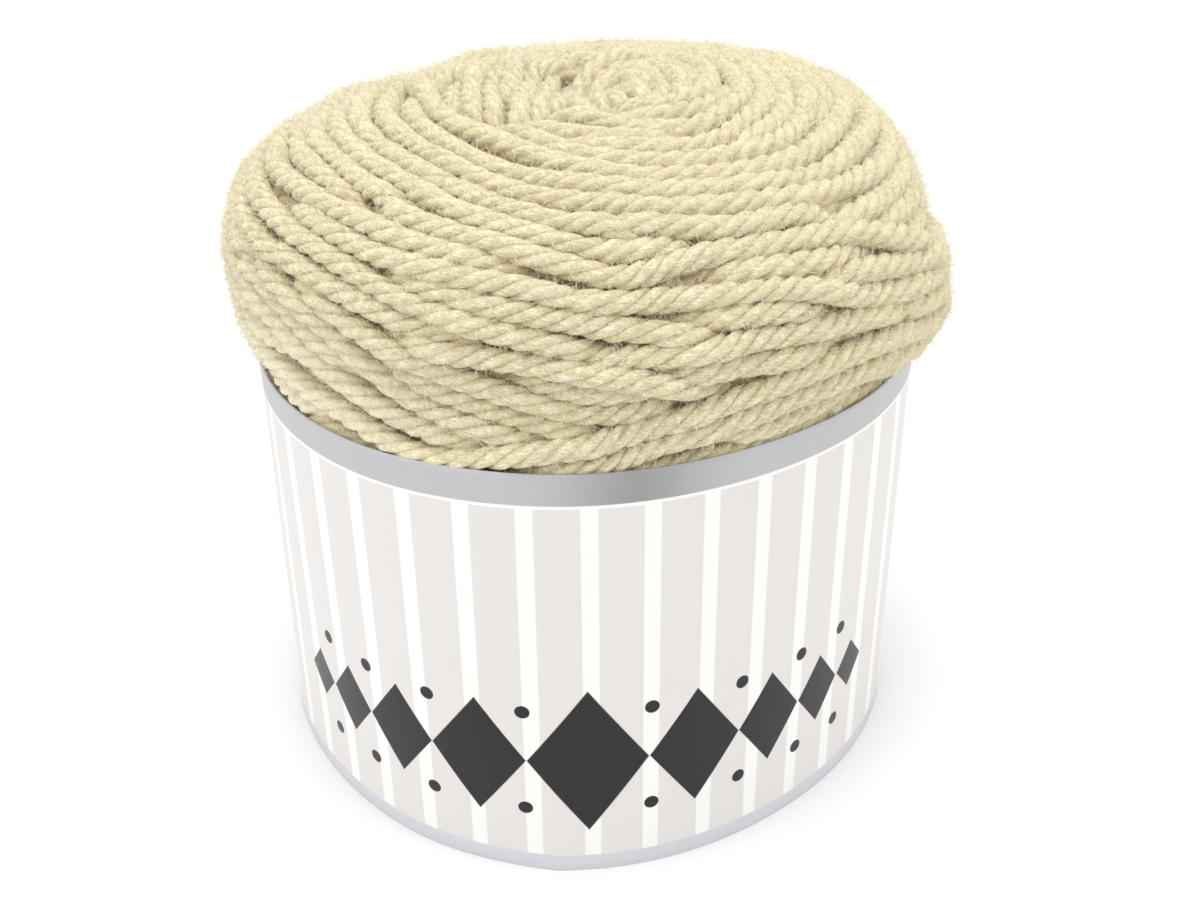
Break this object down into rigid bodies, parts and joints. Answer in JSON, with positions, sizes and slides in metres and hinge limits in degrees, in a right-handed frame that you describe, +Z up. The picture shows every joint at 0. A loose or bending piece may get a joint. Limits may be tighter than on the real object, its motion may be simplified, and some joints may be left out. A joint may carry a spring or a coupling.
{
  "type": "yarn cake",
  "caption": "Fat round cake of thick plied yarn with a low domed top, standing in a lapped strip of label card.",
  "frame": {"origin": "centre of the yarn's flat base, on the surface the cake stands on", "axes": "+Z up along the winding's axis; -Y is the front seen in the picture; the card laps at +Y, the back; +X to the right seen from the front"},
  "size_m": [0.1137, 0.108, 0.1086],
  "materials": {
    "yarn": "matt, softly hairy plied yarn, undyed beige",
    "label_card": "satin coated white card with pale grey stripes and grey borders"
  },
  "bodies": {
    "root": {"yarn_cake": "yarn", "label_band": "label_card"}
  },
  "joints": []
}
